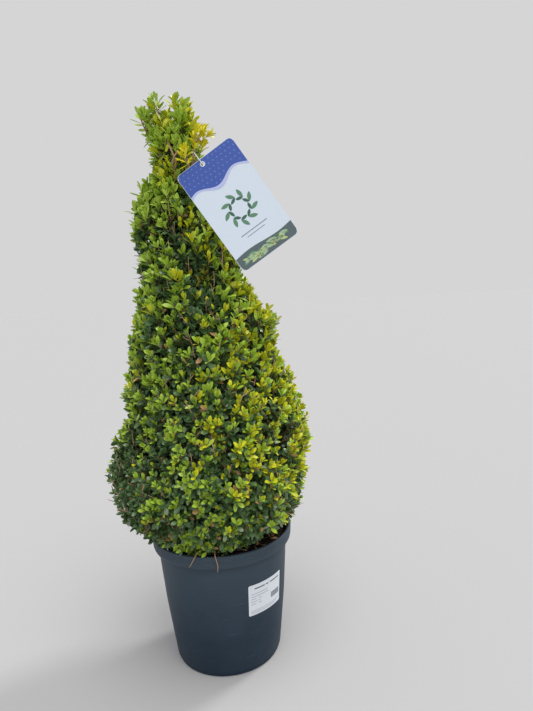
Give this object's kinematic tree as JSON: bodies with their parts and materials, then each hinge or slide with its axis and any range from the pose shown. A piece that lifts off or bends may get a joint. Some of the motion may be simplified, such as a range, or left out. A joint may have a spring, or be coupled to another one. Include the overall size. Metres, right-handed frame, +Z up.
{
  "type": "potted cone topiary",
  "caption": "Box shrub clipped to a loose cone in a round plastic nursery pot, with trunk, boughs, leafy masses, compost and a hanging card tag.",
  "frame": {"origin": "centre of the pot's flat underside", "axes": "+Z up along the pot's axis, -Y towards the tag and the sticker's side, +X to the right as seen from the front"},
  "size_m": [0.4358, 0.4443, 1.1822],
  "materials": {
    "pot_plastic": "matt moulded plastic with a soft sheen",
    "compost": "rough, dark and fibrous",
    "sticker_film": "matt printed film",
    "tag_film": "satin laminated card",
    "tie_plastic": "smooth white plastic",
    "bark": "finely cracked pale bark",
    "leaf_gold": "waxy golden-green leaves",
    "leaf_deep": "waxy deep green leaves",
    "leaf_green": "waxy green leaves"
  },
  "bodies": {
    "root": {"bough_body_back": "bark", "bough_body_left": "bark", "bough_body_right": "bark", "bough_shoulder_left": "bark", "bough_shoulder_right": "bark", "bough_side": "bark", "bough_skirt_back_left": "bark", "bough_skirt_back_right": "bark", "bough_skirt_front_left": "bark", "bough_skirt_front_right": "bark", "foliage_body_back": "leaf_green", "foliage_body_left": "leaf_deep", "foliage_body_right": "leaf_gold", "foliage_shoulder_left": "leaf_deep", "foliage_shoulder_right": "leaf_gold", "foliage_side_spray": "leaf_gold", "foliage_skirt_back_left": "leaf_deep", "foliage_skirt_back_right": "leaf_gold", "foliage_skirt_front_left": "leaf_deep", "foliage_skirt_front_right": "leaf_gold", "foliage_spire_top": "leaf_green", "pot": "pot_plastic", "pot_sticker": "sticker_film", "root_ball": "compost", "tag_card": "tag_film", "tag_tie": "tie_plastic", "trunk": "bark"}
  },
  "joints": []
}
